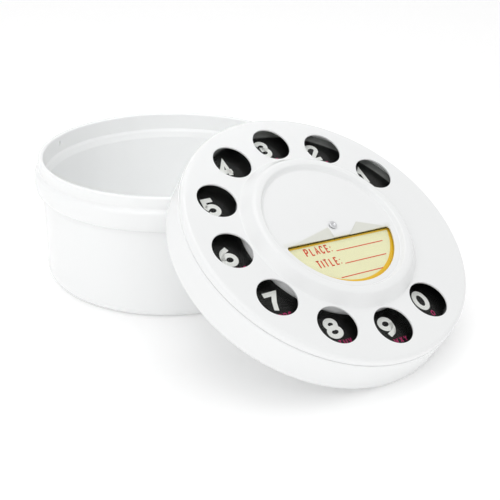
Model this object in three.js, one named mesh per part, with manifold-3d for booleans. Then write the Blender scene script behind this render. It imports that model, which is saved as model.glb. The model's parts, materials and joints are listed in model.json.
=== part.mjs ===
// A round white box with a lid made like a telephone dial. The lid is off and leans on the box's rim.
// Millimetres, +Z up. The origin is the centre of the tub's flat base.
import * as THREE from 'three';
import { mergeVertices } from 'three/addons/utils/BufferGeometryUtils.js';
import Module from 'manifold-3d';

const wasm = await Module();
wasm.setup();

// Tub
const TUB_HEIGHT = 59.2;
const TUB_WALL = 2.6;
const TUB_FLOOR = 2.4;
const TUB_BASE_ROUND = 5.5;
const TUB_FLOOR_ROUND = 3.2;
const LIP_STEP = 1.2;
const LIP_WALL = 2.4;
const LIP_HEIGHT = 5.2;
const LIP_ROUND = 0.9;
const BEAD_HEIGHT = 11.0;
const BEAD_REACH = 3.4;
const BEAD_SQUARENESS = 2.6;
const LEDGE_DROP = 1.4;
const LEDGE_HEIGHT = 4.2;
const SNAP_HOLE_RADIUS = 1.0;
const SNAP_HOLE_BELOW_RIM = 3.8;
const SNAP_HOLE_ANGLE = 160;

// Lid shell
const LID_RADIUS = 65.35;
const LID_FIT = 0.85;
const SKIRT_WALL = 2.1;
const SKIRT_LENGTH = 16.25;
const SKIRT_EDGE_ROUND = 0.8;
const SKIRT_TOP_ROUND = 0.5;
const DECK_RECESS = 1.6;
const DECK_THICKNESS = 1.9;
const DECK_CORNER_ROUND = 1.6;
const SEAT_INSET = 0.4;
const SEAT_WALL = 2.0;
const BOSS_RADIUS = 6.0;
const BOSS_HEIGHT = 1.2;
const PIP_RADIUS = 0.8;
const PIP_REACH = 0.8;

// Finger wheel, whose flat top is the lid's zero height
const WHEEL_INSET = 0.15;
const WHEEL_PLATE = 0.9;
const WHEEL_LIP_WIDTH = 2.4;
const WHEEL_EDGE_ROUND = 1.9;
const WHEEL_RIM = 6.43;
const HOLE_RADIUS = 8.77;
const HOLE_COUNT = 10;
const HOLE_STEP = 30;
const HUB_MARGIN = 0.83;
const HUB_SLOPE = 5.0;
const HUB_CREST = 2.6;
const HUB_HEIGHT = 5.0;
const HUB_WALL = 1.4;
const CREST_ROUND = 0.8;
const DISH_SLOPE = 1.6;
const DISH_DEPTH = 2.2;
const DISH_FLOOR = 0.9;
const WINDOW_BORDER = 2.2;
const WINDOW_EDGE = 5.75;
const WINDOW_CORNER = 1.5;
const FACET_DEPTH = 0.6;
const FACET_TOP = 0.4;
const FACET_NEAR_LEFT = 2.6;
const FACET_NEAR_RIGHT = 5.2;
const FACET_PEAK_RIGHT = 12.9;
const FACET_INSET = 1.2;

// Printed pieces, films and the pivot
const PLATE_CLEARANCE = 3.4;
const NUMBER_DISC = 0.5;
const NUMBER_FILM = 0.3;
const CARD_WINDOW = 0.3;
const CARD = 0.3;
const CARD_BACKING = 1.4;
const CARD_EDGE_ABOVE_WINDOW = 2.2;
const PIN_RADIUS = 1.2;
const PIN_HEAD_OVERHANG = 0.55;
const PIN_HEAD_HEIGHT = 0.7;
const PIN_DIMPLE_RADIUS = 0.8;
const PIN_DIMPLE_DEPTH = 0.4;
const PIN_TAIL = 1.0;
const BUSH_RADIUS = 6.0;
const WAVE_RADIUS = 4.6;
const WAVE_SHEET = 0.3;
const WAVE_RISE = 0.3;
const WAVE_COUNT = 3;
const NUT_RADIUS = 4.8;
const NUT_SHEET = 0.6;

// How the lid leans. The share is how far up the skirt's edge, of its radius, the tub's rim touches it
const LEAN_REST_SHARE = 0.7991;
const LEAN_DIRECTION = -46.15;
const LEAN_TWIST = 0.3;
const LID_SPIN = 81.4;

// Clearances and fineness
const GAP = 0.3;
const OVERRUN = 1;
const TURN_STEPS = 60;
const FINE_STEPS = 80;
const SMALL_STEPS = 24;
const ARC_STEPS = 4;

const degrees = THREE.MathUtils.degToRad;

// Radii, from the lid's outside inwards
const skirtInnerRadius = LID_RADIUS - SKIRT_WALL;
const lipRadius = skirtInnerRadius - LID_FIT;
const tubRadius = lipRadius - LIP_STEP;
const wheelRadius = LID_RADIUS - WHEEL_INSET;
const recessRadius = wheelRadius - WHEEL_LIP_WIDTH - GAP;
const holePitchRadius = wheelRadius - WHEEL_RIM - HOLE_RADIUS;
const hubFootRadius = holePitchRadius - HOLE_RADIUS - HUB_MARGIN;
const seatRadius = hubFootRadius - SEAT_INSET;
const hubCrestRadius = hubFootRadius - HUB_SLOPE;
const dishWallRadius = hubCrestRadius - HUB_CREST;
const dishRadius = dishWallRadius - DISH_SLOPE;
const windowRadius = dishRadius - WINDOW_BORDER;
const boreRadius = PIN_RADIUS + GAP;
const pinHeadRadius = PIN_RADIUS + PIN_HEAD_OVERHANG;

// Heights in the lid, from the wheel's flat top downwards to the skirt, then from the dish to the nut
const filmTop = -WHEEL_PLATE - PLATE_CLEARANCE;
const filmBottom = filmTop - NUMBER_FILM;
const discTop = filmBottom - GAP;
const discBottom = discTop - NUMBER_DISC;
const deckTop = discBottom - GAP;
const deckUnder = deckTop - DECK_THICKNESS;
const bossUnder = deckUnder - BOSS_HEIGHT;
const skirtTop = deckTop + DECK_RECESS;
const skirtBottom = skirtTop - SKIRT_LENGTH;
const wheelLipBottom = skirtTop + GAP;
const seatTop = -WHEEL_PLATE - GAP;
const dishTop = HUB_HEIGHT - DISH_DEPTH;
const dishUnder = dishTop - DISH_FLOOR;
const windowTop = dishUnder - GAP;
const windowBottom = windowTop - CARD_WINDOW;
const cardTop = windowBottom - GAP;
const cardBottom = cardTop - CARD;
const backingTop = cardBottom - GAP;
const backingBottom = backingTop - CARD_BACKING;
const bushTop = backingBottom - GAP;
const bushBottom = deckTop + GAP;
const waveMiddle = bossUnder - GAP - WAVE_RISE - WAVE_SHEET / 2;
const nutTop = waveMiddle - WAVE_RISE - WAVE_SHEET / 2 - GAP;
const nutBottom = nutTop - NUT_SHEET;

// Materials
function finish(color, roughness, metalness = 0) {
  return new THREE.MeshStandardMaterial({ color, roughness, metalness });
}
const whitePlastic = () => finish(0xf2f2f1, 0.22);
const blackPrint = () => finish(0x0d0d0d, 0.35);
const clearFilm = () => finish(0xe6ecee, 0.05);
const yellowCard = () => finish(0xf0e69a, 0.6);
const nylon = () => finish(0xe9e6dc, 0.5);
const steel = () => finish(0xb9bcc0, 0.3, 1);

// Joins shared corners, drops flat slivers and turns the faces outwards
function weld(geometry) {
  const bare = geometry.index ? geometry.toNonIndexed() : geometry.clone();
  bare.deleteAttribute('normal');
  bare.deleteAttribute('uv');
  const merged = mergeVertices(bare);
  const place = merged.attributes.position;
  const [a, b, c] = [new THREE.Vector3(), new THREE.Vector3(), new THREE.Vector3()];
  const faces = [];
  let volume = 0;
  for (let i = 0; i < merged.index.count; i += 3) {
    const face = [merged.index.getX(i), merged.index.getX(i + 1), merged.index.getX(i + 2)];
    if (new Set(face).size === 3) {
      faces.push(face);
      a.fromBufferAttribute(place, face[0]);
      b.fromBufferAttribute(place, face[1]);
      c.fromBufferAttribute(place, face[2]);
      volume += a.dot(b.cross(c));
    }
  }
  merged.setIndex(faces.flatMap((face) => (volume < 0 ? face.reverse() : face)));
  return merged;
}

const toSolid = (geometry) => {
  const welded = weld(geometry);
  return new wasm.Manifold(new wasm.Mesh({
    numProp: 3,
    vertProperties: new Float32Array(welded.attributes.position.array),
    triVerts: new Uint32Array(welded.index.array),
  }));
};

function toGeometry(solid) {
  const mesh = solid.getMesh();
  const geometry = new THREE.BufferGeometry();
  geometry.setAttribute('position', new THREE.BufferAttribute(new Float32Array(mesh.vertProperties), 3));
  geometry.setIndex(new THREE.BufferAttribute(new Uint32Array(mesh.triVerts), 1));
  return geometry;
}

// Outline points of a quarter or other arc, angles in degrees
function arc(centreR, centreZ, radius, from, to, steps = ARC_STEPS) {
  return Array.from({ length: steps + 1 }, (_, i) => {
    const angle = degrees(from + ((to - from) * i) / steps);
    return [centreR + radius * Math.cos(angle), centreZ + radius * Math.sin(angle)];
  });
}

// A solid of revolution about +Z from [radius, height] points
function turned(outline, steps = TURN_STEPS) {
  const points = outline.map(([radius, height]) => new THREE.Vector2(radius, height));
  const closed = outline[0][0] > 0 ? [...points, points[0]] : points;
  return new THREE.LatheGeometry(closed, steps).rotateX(Math.PI / 2);
}

// A flat ring or, with no inner radius, a disc
const ring = (inner, outer, bottom, top, steps = TURN_STEPS) =>
  turned([[inner, bottom], [outer, bottom], [outer, top], [inner, top]], steps);

function rod(radius, bottom, top, steps = SMALL_STEPS) {
  const geometry = new THREE.CylinderGeometry(radius, radius, top - bottom, steps).rotateX(Math.PI / 2);
  return geometry.translate(0, 0, (bottom + top) / 2);
}

// A short rod whose axis runs out from +Z at an angle, between two radii
function spoke(radius, inner, outer, height, angle) {
  const geometry = new THREE.CylinderGeometry(radius, radius, outer - inner, SMALL_STEPS / 2);
  geometry.rotateZ(Math.PI / 2).translate((inner + outer) / 2, 0, height);
  return geometry.rotateZ(degrees(angle));
}

function part(name, geometry, material) {
  const welded = weld(geometry);
  welded.computeVertexNormals();
  const mesh = new THREE.Mesh(welded, material);
  mesh.name = name;
  return mesh;
}

// The half-moon below a straight edge, with its two corners rounded
function halfMoon(radius, edge, corner) {
  const middle = Math.sqrt((radius - corner) ** 2 - (edge + corner) ** 2);
  const slope = Math.atan2(-(edge + corner), middle);
  const shape = new THREE.Shape();
  shape.moveTo(-middle, -edge);
  shape.lineTo(middle, -edge);
  shape.absarc(middle, -(edge + corner), corner, Math.PI / 2, slope, true);
  shape.absarc(0, 0, radius, slope, -Math.PI - slope, true);
  shape.absarc(-middle, -(edge + corner), corner, Math.PI - slope, Math.PI / 2, true);
  return shape;
}

function slab(shape, bottom, top) {
  const settings = { depth: top - bottom, bevelEnabled: false, curveSegments: SMALL_STEPS };
  const geometry = new THREE.ExtrudeGeometry(shape, settings);
  return geometry.translate(0, 0, bottom);
}

// A wedge that cuts a bevel: flat along far to peak, and deepest at near
function wedge(far, peak, near, top, depth) {
  const high = top + OVERRUN;
  const corners = [
    [...far, high], [...peak, high], [...near, high],
    [...far, top], [...peak, top], [...near, top - depth],
  ];
  const geometry = new THREE.BufferGeometry();
  geometry.setAttribute('position', new THREE.Float32BufferAttribute(corners.flat(), 3));
  geometry.setIndex([0, 1, 2, 3, 5, 4, 0, 3, 4, 0, 4, 1, 1, 4, 5, 1, 5, 2, 2, 5, 3, 2, 3, 0]);
  return geometry;
}

// The tub, with floor, round-cornered wall, bead, shoulder, lip and the small ledge inside
function makeTub() {
  const shoulder = TUB_HEIGHT - LIP_HEIGHT;
  const lipInner = lipRadius - LIP_WALL;
  const wallInner = tubRadius - TUB_WALL;
  const beadMiddle = shoulder - BEAD_HEIGHT / 2;
  const beadSteps = 2 * ARC_STEPS;
  const bead = Array.from({ length: beadSteps }, (_, i) => {
    const angle = degrees(-90 + (180 * i) / beadSteps);
    const across = Math.abs(Math.cos(angle)) ** (2 / BEAD_SQUARENESS);
    const along = Math.sign(Math.sin(angle)) * Math.abs(Math.sin(angle)) ** (2 / BEAD_SQUARENESS);
    return [tubRadius + BEAD_REACH * across, beadMiddle + (BEAD_HEIGHT / 2) * along];
  });
  const outline = [
    [0, 0],
    ...arc(tubRadius - TUB_BASE_ROUND, TUB_BASE_ROUND, TUB_BASE_ROUND, -90, 0),
    ...bead,
    [lipRadius, shoulder],
    ...arc(lipRadius - LIP_ROUND, TUB_HEIGHT - LIP_ROUND, LIP_ROUND, 0, 90, 3),
    ...arc(lipInner + LIP_ROUND, TUB_HEIGHT - LIP_ROUND, LIP_ROUND, 90, 180, 3),
    [lipInner, shoulder],
    [lipInner - LEDGE_DROP / 2, shoulder - LEDGE_DROP],
    [wallInner, shoulder - LEDGE_DROP - LEDGE_HEIGHT],
    ...arc(wallInner - TUB_FLOOR_ROUND, TUB_FLOOR + TUB_FLOOR_ROUND, TUB_FLOOR_ROUND, 0, -90),
    [0, TUB_FLOOR],
  ];
  let solid = toSolid(turned(outline));
  for (const angle of [SNAP_HOLE_ANGLE, SNAP_HOLE_ANGLE + 180]) {
    const height = TUB_HEIGHT - SNAP_HOLE_BELOW_RIM;
    const drill = spoke(SNAP_HOLE_RADIUS, lipInner - OVERRUN, lipRadius + OVERRUN, height, angle);
    solid = solid.subtract(toSolid(drill));
  }
  return part('tub', toGeometry(solid), whitePlastic());
}

// The lid's skirt and deck, with the round seat that carries the wheel, the pivot's boss and the two
// pips that snap into the tub's lip
function makeLidShell() {
  const edgeMiddle = skirtBottom + SKIRT_EDGE_ROUND;
  const outline = [
    [boreRadius, deckTop],
    [seatRadius - SEAT_WALL, deckTop],
    [seatRadius - SEAT_WALL, seatTop],
    [seatRadius, seatTop],
    [seatRadius, deckTop],
    [recessRadius + GAP, deckTop],
    [recessRadius + GAP, skirtTop],
    ...arc(LID_RADIUS - SKIRT_TOP_ROUND, skirtTop - SKIRT_TOP_ROUND, SKIRT_TOP_ROUND, 90, 0, 2),
    ...arc(LID_RADIUS - SKIRT_EDGE_ROUND, edgeMiddle, SKIRT_EDGE_ROUND, 0, -90, 3),
    ...arc(skirtInnerRadius + SKIRT_EDGE_ROUND, edgeMiddle, SKIRT_EDGE_ROUND, -90, -180, 3),
    ...arc(skirtInnerRadius - DECK_CORNER_ROUND, deckUnder - DECK_CORNER_ROUND, DECK_CORNER_ROUND, 0, 90, 3),
    [BOSS_RADIUS, deckUnder],
    [BOSS_RADIUS, bossUnder],
    [boreRadius, bossUnder],
  ];
  let solid = toSolid(turned(outline));
  for (const angle of [90, 270]) {
    const height = skirtBottom + LIP_HEIGHT - SNAP_HOLE_BELOW_RIM;
    const inner = skirtInnerRadius - PIP_REACH;
    solid = solid.add(toSolid(spoke(PIP_RADIUS, inner, skirtInnerRadius + SKIRT_WALL / 2, height, angle)));
  }
  return part('lid_shell', toGeometry(solid), whitePlastic());
}

// The finger wheel, one moulding with its hub ring and the dish for the card
function makeFingerWheel() {
  const rim = wheelRadius - WHEEL_LIP_WIDTH;
  const crestHalf = HUB_CREST / 2;
  const outline = [
    [boreRadius, dishTop],
    [dishRadius, dishTop],
    [dishWallRadius, HUB_HEIGHT - CREST_ROUND],
    [dishWallRadius + crestHalf, HUB_HEIGHT],
    [hubCrestRadius + crestHalf, HUB_HEIGHT - CREST_ROUND / 2],
    [hubFootRadius - crestHalf, CREST_ROUND / 2],
    [hubFootRadius, 0],
    ...arc(wheelRadius - WHEEL_EDGE_ROUND, -WHEEL_EDGE_ROUND, WHEEL_EDGE_ROUND, 90, 0),
    [wheelRadius, wheelLipBottom],
    [rim, wheelLipBottom],
    [rim, -WHEEL_PLATE],
    [hubFootRadius - HUB_WALL, -WHEEL_PLATE],
    [hubCrestRadius + crestHalf - HUB_WALL / 2, HUB_HEIGHT - HUB_WALL],
    [dishWallRadius, HUB_HEIGHT - HUB_WALL],
    [dishRadius + GAP, dishUnder],
    [boreRadius, dishUnder],
  ];
  let solid = toSolid(turned(outline, FINE_STEPS));
  for (let i = 1; i <= HOLE_COUNT; i += 1) {
    const angle = degrees(HOLE_STEP * i);
    const hole = rod(HOLE_RADIUS, -WHEEL_PLATE - OVERRUN, OVERRUN);
    hole.translate(holePitchRadius * Math.cos(angle), holePitchRadius * Math.sin(angle), 0);
    solid = solid.subtract(toSolid(hole));
  }
  const moon = halfMoon(windowRadius, WINDOW_EDGE, WINDOW_CORNER);
  solid = solid.subtract(toSolid(slab(moon, dishUnder - OVERRUN, dishTop + OVERRUN)));
  const edge = -WINDOW_EDGE - FACET_TOP;
  const far = windowRadius - FACET_INSET;
  const leftPeak = [-FACET_NEAR_LEFT, -FACET_TOP];
  const rightPeak = [FACET_PEAK_RIGHT, -FACET_TOP];
  const left = wedge([-far, edge], leftPeak, [-FACET_NEAR_LEFT, edge], dishTop, FACET_DEPTH);
  const right = wedge([far, edge], rightPeak, [FACET_NEAR_RIGHT, edge], dishTop, FACET_DEPTH);
  solid = solid.subtract(toSolid(left)).subtract(toSolid(right));
  return part('finger_wheel', toGeometry(solid), whitePlastic());
}

// The card behind the window, its film, and the disc that backs them
function makeCardPack() {
  const cardEdge = WINDOW_EDGE - CARD_EDGE_ABOVE_WINDOW;
  const cardRadius = dishRadius - GAP;
  const moon = halfMoon(cardRadius, cardEdge, WINDOW_CORNER);
  const backingRadius = hubCrestRadius - GAP;
  return [
    part('card_window', slab(moon, windowBottom, windowTop), clearFilm()),
    part('name_card', slab(moon, cardBottom, cardTop), yellowCard()),
    part('card_backing', ring(boreRadius, backingRadius, backingBottom, backingTop), whitePlastic()),
  ];
}

// The printed ring that lies between the seat and the rim, and its film
function makeNumberPack() {
  const inner = seatRadius + GAP;
  return [
    part('number_film', ring(inner, recessRadius, filmBottom, filmTop), clearFilm()),
    part('number_disc', ring(inner, recessRadius, discBottom, discTop), blackPrint()),
  ];
}

// The pin with a dimpled head, which runs from the dish down through the deck to the nut
function makePivotPin() {
  const headBottom = dishTop + GAP;
  const headTop = headBottom + PIN_HEAD_HEIGHT;
  const outline = [
    [0, nutBottom - PIN_TAIL],
    [PIN_RADIUS, nutBottom - PIN_TAIL],
    [PIN_RADIUS, headBottom],
    [pinHeadRadius, headBottom],
    [pinHeadRadius, headTop - PIN_HEAD_HEIGHT / 3],
    [(pinHeadRadius + PIN_DIMPLE_RADIUS) / 2, headTop],
    [PIN_DIMPLE_RADIUS, headTop],
    [0, headTop - PIN_DIMPLE_DEPTH],
  ];
  return part('pivot_pin', turned(outline, SMALL_STEPS), steel());
}

// A sheet ring whose height rises and falls three times round
function makeWaveWasher() {
  const half = WAVE_SHEET / 2;
  const geometry = ring(boreRadius, WAVE_RADIUS, waveMiddle - half, waveMiddle + half, SMALL_STEPS);
  const place = geometry.attributes.position;
  for (let i = 0; i < place.count; i += 1) {
    const angle = Math.atan2(place.getY(i), place.getX(i));
    place.setZ(i, place.getZ(i) + WAVE_RISE * Math.sin(WAVE_COUNT * angle));
  }
  return part('wave_washer', geometry, steel());
}

function makePivotHardware() {
  return [
    makePivotPin(),
    part('spacer_bush', ring(boreRadius, BUSH_RADIUS, bushBottom, bushTop, SMALL_STEPS), nylon()),
    makeWaveWasher(),
    part('push_nut', ring(boreRadius, NUT_RADIUS, nutBottom, nutTop, SMALL_STEPS), steel()),
  ];
}

// How the lid lies when its skirt stands on the table and leans on the tub's rim: the tilt that lifts
// the place where they touch to the rim's height, and where the lid's zero height comes to
function leanPlace() {
  const contactRadius = skirtInnerRadius + SKIRT_EDGE_ROUND;
  const standRadius = LID_RADIUS - SKIRT_EDGE_ROUND;
  const span = standRadius + contactRadius * LEAN_REST_SHARE;
  const rise = TUB_HEIGHT + GAP - SKIRT_EDGE_ROUND;
  const roundAngle = Math.atan2(SKIRT_EDGE_ROUND, span);
  const tilt = Math.asin(rise / Math.hypot(span, SKIRT_EDGE_ROUND)) + roundAngle;
  const skirtMiddle = standRadius * Math.sin(tilt) + SKIRT_EDGE_ROUND * (1 - Math.cos(tilt));
  const along = skirtBottom * Math.sin(tilt) - contactRadius * LEAN_REST_SHARE * Math.cos(tilt);
  const side = contactRadius * Math.sqrt(1 - LEAN_REST_SHARE ** 2);
  const twist = degrees(LEAN_TWIST);
  const reaches = [side, -side].map((across) => {
    const turnedAlong = along * Math.cos(twist) - across * Math.sin(twist);
    const turnedAcross = along * Math.sin(twist) + across * Math.cos(twist);
    return Math.sqrt(lipRadius ** 2 - turnedAcross ** 2) - turnedAlong;
  });
  return { tilt, reach: Math.max(...reaches), height: skirtMiddle - skirtBottom * Math.cos(tilt) };
}

function makeLid() {
  const { tilt: leanTilt, reach, height } = leanPlace();
  const spin = new THREE.Group();
  spin.add(makeLidShell(), makeFingerWheel(), ...makeCardPack(), ...makeNumberPack(), ...makePivotHardware());
  spin.rotation.z = degrees(LID_SPIN);
  const tilt = new THREE.Group();
  tilt.add(spin);
  tilt.rotation.y = leanTilt;
  const lean = new THREE.Group();
  lean.add(tilt);
  lean.rotation.z = degrees(LEAN_DIRECTION + LEAN_TWIST);
  const direction = degrees(LEAN_DIRECTION);
  lean.position.set(reach * Math.cos(direction), reach * Math.sin(direction), height);
  return lean;
}

const box = new THREE.Group();
box.name = 'dial_lid_box';
box.add(makeTub(), makeLid());

export default box;
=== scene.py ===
"""A round box whose lid is made like a telephone dial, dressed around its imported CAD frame.

Lengths in the file are in metres unless a name or comment says otherwise. Pieces of the lid are built in
the lid's own frame, with the wheel's flat top at height zero and the dial's upright along +Y, and are then
set in place.
"""

import json
import math

import bmesh
import bpy
from bpy.props import FloatProperty, FloatVectorProperty, IntProperty, PointerProperty
from bpy.types import Operator, Panel, PropertyGroup
from mathutils import Matrix, Vector
from mathutils.geometry import delaunay_2d_cdt


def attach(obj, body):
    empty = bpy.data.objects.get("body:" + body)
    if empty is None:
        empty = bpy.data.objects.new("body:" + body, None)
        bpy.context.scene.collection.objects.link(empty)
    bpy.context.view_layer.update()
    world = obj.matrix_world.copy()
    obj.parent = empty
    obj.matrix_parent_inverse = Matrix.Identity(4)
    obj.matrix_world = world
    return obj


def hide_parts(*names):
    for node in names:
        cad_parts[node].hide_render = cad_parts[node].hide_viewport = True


bl_info = {
    "name": "Dial Lid Box",
    "version": (1, 0, 0),
    "blender": (4, 5, 0),
    "location": "View3D > Sidebar > Dial Box",
    "description": "Builds a round plastic box and its telephone-dial lid around a packed CAD frame",
    "category": "Object",
}

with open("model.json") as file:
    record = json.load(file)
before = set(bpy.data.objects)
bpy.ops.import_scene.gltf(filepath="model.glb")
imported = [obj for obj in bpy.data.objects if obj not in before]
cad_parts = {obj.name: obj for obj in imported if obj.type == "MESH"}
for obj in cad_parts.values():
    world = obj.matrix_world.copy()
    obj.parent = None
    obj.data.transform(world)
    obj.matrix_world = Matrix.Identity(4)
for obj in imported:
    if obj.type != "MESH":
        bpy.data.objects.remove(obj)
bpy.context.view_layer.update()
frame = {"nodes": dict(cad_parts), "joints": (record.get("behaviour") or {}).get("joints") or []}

MM = 0.001

# The photograph's camera, fitted to the ten finger holes, the tub's edges and the lid's outline
PHOTO_WIDTH = 500
FOCAL_PIXELS = 1043.73
SENSOR_WIDTH = 36
CAMERA_EYE = Vector((37.567, -476.044, 223.310)) * MM
CAMERA_PITCH, CAMERA_YAW, CAMERA_ROLL = (math.radians(a) for a in (24.4354, -0.1758, 0.6186))

# The dial's upright in the leaning lid. The spin joint's point and axis come from the frame
LID_UPRIGHT = Vector((-0.483828, 0.713084, 0.507368))

# How far across the two bevels above the window have their deep corner and their peak, in millimetres
BEVEL_CORNERS = ((-2.6, -2.6), (5.2, 12.9))

# How the disc's print sits against the finger holes, and the middle of its black ground
PRINT_SHRINK = 0.994
PRINT_SHIFT = Vector((-0.3 * MM, 1.7 * MM))
BLACK_MIDDLE = (-0.8 * MM, -0.7 * MM)

# The small letters' width, gaps and line as shares of their height, and their place under the figure's middle
LETTER_SHARE, LETTER_SPACE, LETTER_LINE = 0.72, 0.2, 0.17
LETTER_RIGHT, LETTER_DROP = 1.9 * MM, 8.3 * MM

# The card, its prompts by their lower left corner, and its writing lines by height and two ends, in millimetres
CARD_THICKNESS = 0.3 * MM
BORDER_RISE = 1.9 * MM
PROMPT_HEIGHT, PROMPT_SHARE, PROMPT_LINE = 4.1 * MM, 0.51, 0.62 * MM
PROMPTS = (("PLACE:", -20.1, -11.4), ("TITLE:", -17.9, -18.1))
WRITING_LINES = ((-11.4, -4.5, 21.5), (-18.1, -4.25, 18.75), (-24.25, -10.5, 12.5))


# Sizes, colours and the studio

def size(name, description, default_mm):
    """A length property whose default is given in millimetres."""
    return FloatProperty(name=name, description=description, default=default_mm * MM, min=0.0, unit="LENGTH")


def angle(name, description, default_degrees):
    """A rotation property whose default is given in degrees."""
    return FloatProperty(name=name, description=description, default=math.radians(default_degrees),
                         unit="ROTATION")


def tint(name, description, shade):
    """A colour property, given as an 8-bit sRGB shade and kept as linear light."""
    return FloatVectorProperty(name=name, description=description, subtype="COLOR", size=3, min=0.0, max=1.0,
                               default=linear(shade))


def linear(shade):
    """8-bit sRGB values as linear light."""
    return tuple(s / 255 / 12.92 if s / 255 <= 0.04045 else ((s / 255 + 0.055) / 1.055) ** 2.4 for s in shade)


class TubSizes(PropertyGroup):
    height: size("Height", "From the table to the top of the lip", 59.2)
    wall_radius: size("Wall radius", "Outer radius of the upright wall", 61.2)
    wall: size("Wall thickness", "Thickness of the upright wall", 2.6)
    floor: size("Floor thickness", "Thickness of the floor", 2.4)
    base_round: size("Base rounding", "Outer rounding between wall and base", 5.5)
    floor_round: size("Floor rounding", "Inner rounding between wall and floor", 3.2)
    lip_radius: size("Lip radius", "Outer radius of the lip that the lid fits over", 62.4)
    lip_wall: size("Lip thickness", "Thickness of the lip", 2.4)
    lip_height: size("Lip height", "From the shoulder to the top of the lip", 5.2)
    lip_round: size("Lip rounding", "Rounding of the lip's two top edges", 0.9)
    bead_height: size("Bead height", "Height of the round band under the shoulder", 11.0)
    bead_reach: size("Bead reach", "How far the band stands out from the wall", 3.4)
    ledge_drop: size("Ledge drop", "Height of the ledge's first slope inside", 1.4)
    ledge_height: size("Ledge height", "Height of the ledge's long slope inside", 2.9)
    ledge_below: size("Ledge below rim", "Depth below the rim at which the ledge inside starts", 8.3)
    hole_radius: size("Snap hole radius", "Radius of the two holes through the lip", 1.0)
    hole_below: size("Snap hole depth", "From the lip's top to the snap holes", 3.8)
    hole_angle: angle("Snap hole angle", "Where the first snap hole stands around the tub", 160)


class LidSizes(PropertyGroup):
    radius: size("Radius", "Outer radius of the skirt", 65.35)
    skirt_wall: size("Skirt thickness", "Thickness of the skirt", 2.1)
    skirt_top: size("Skirt top", "How far the skirt's top lies below the wheel's flat", 4.1)
    skirt_length: size("Skirt length", "Height of the skirt", 16.25)
    edge_round: size("Skirt edge rounding", "Rounding of the skirt's lower edge", 0.8)
    deck_top: size("Deck top", "How far the deck lies below the wheel's flat", 5.7)
    deck: size("Deck thickness", "Thickness of the deck", 1.9)
    recess_radius: size("Recess radius", "Radius of the recess that holds the number disc", 62.8)
    corner_round: size("Corner rounding", "Inner rounding between deck and skirt", 1.6)
    seat_radius: size("Seat radius", "Outer radius of the round seat that carries the wheel", 40.0)
    seat_wall: size("Seat thickness", "Thickness of the seat", 2.0)
    seat_top: size("Seat top", "How far the seat's top lies below the wheel's flat", 1.2)
    boss_radius: size("Boss radius", "Radius of the pivot's boss under the deck", 6.0)
    boss_height: size("Boss height", "Height of the pivot's boss", 1.2)
    pip_radius: size("Pip radius", "Radius of the two pips that snap into the tub", 0.8)
    pip_reach: size("Pip reach", "How far the pips stand out", 0.8)
    bore: size("Bore radius", "Radius of the pivot's bore", 1.5)


class WheelSizes(PropertyGroup):
    radius: size("Radius", "Outer radius of the finger wheel", 65.2)
    plate: size("Plate thickness", "Thickness of the wheel's flat plate", 0.9)
    rim_round: size("Rim rounding", "Large rounding of the wheel's outer edge", 1.9)
    rim_width: size("Rim width", "Thickness of the wheel's downturned rim", 2.4)
    rim_depth: size("Rim depth", "How far the rim reaches below the flat", 3.8)
    hole_radius: size("Finger hole radius", "Radius of the finger holes", 8.77)
    hole_pitch: size("Hole pitch radius", "Radius of the circle of finger holes", 50.0)
    hole_edge: size("Hole edge rounding", "Rounding of the finger holes' edges", 0.22)
    hub_foot: size("Hub foot radius", "Where the hub ring starts to rise", 40.4)
    hub_crest: size("Hub crest radius", "Outer side of the hub ring's crest", 35.4)
    hub_height: size("Hub height", "Height of the hub ring's crest", 5.0)
    hub_wall: size("Hub thickness", "Wall thickness of the hub ring", 1.4)
    dish_wall: size("Dish wall radius", "Inner side of the hub ring's crest", 32.8)
    dish_radius: size("Dish radius", "Radius of the flat floor of the dish", 31.2)
    dish_height: size("Dish height", "Height of the dish floor over the flat", 2.8)
    dish_floor: size("Dish floor thickness", "Thickness of the dish floor", 0.9)
    window_radius: size("Window radius", "Radius of the half-moon opening", 29.0)
    window_edge: size("Window edge", "How far the straight edge lies below the centre", 5.75)
    window_corner: size("Window corner rounding", "Rounding of the half-moon's two corners", 1.5)
    facet_depth: size("Facet depth", "How deep the two bevels are where they are deepest", 0.6)
    bore: size("Bore radius", "Radius of the pivot's bore", 1.5)


class PrintSizes(PropertyGroup):
    disc_radius: size("Disc radius", "Outer radius of the number disc and its film", 62.5)
    disc_inside: size("Disc inside", "Inner radius of the number disc and its film", 40.3)
    disc_top: size("Disc top", "How far the number disc lies below the wheel's flat", 4.9)
    disc: size("Disc thickness", "Thickness of the number disc", 0.5)
    film_top: size("Film top", "How far the film lies below the wheel's flat", 4.3)
    film: size("Film thickness", "Thickness of both films", 0.3)
    black_radius: size("Black radius", "Outer radius of the disc's black print", 59.2)
    digit_height: size("Digit height", "Height of the printed figures", 9.8)
    digit_width: size("Digit width", "Width of the printed figures", 7.6)
    digit_stroke: size("Digit stroke", "Width of a figure's stroke", 2.15)
    letter_height: size("Letter height", "Height of the small letters under the figures", 2.6)
    ink: size("Ink thickness", "Thickness of the printed ink", 0.02)
    print_turn: angle("Print turn", "How far the print is turned against the dial", 1.54)
    card_radius: size("Card radius", "Radius of the name card and its film", 30.9)
    card_edge: size("Card edge", "How far the card's straight edge lies below the centre", 3.55)
    card_top: size("Card top", "Height of the card's face over the flat", 1.0)
    window_top: size("Window film top", "Height of the card's film over the flat", 1.6)
    border_radius: size("Border radius", "Outer radius of the border, from just above the dial's centre", 32.0)
    border: size("Border width", "Width of the card's border", 3.2)
    rule: size("Rule width", "Width of the card's writing lines", 0.44)


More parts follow.
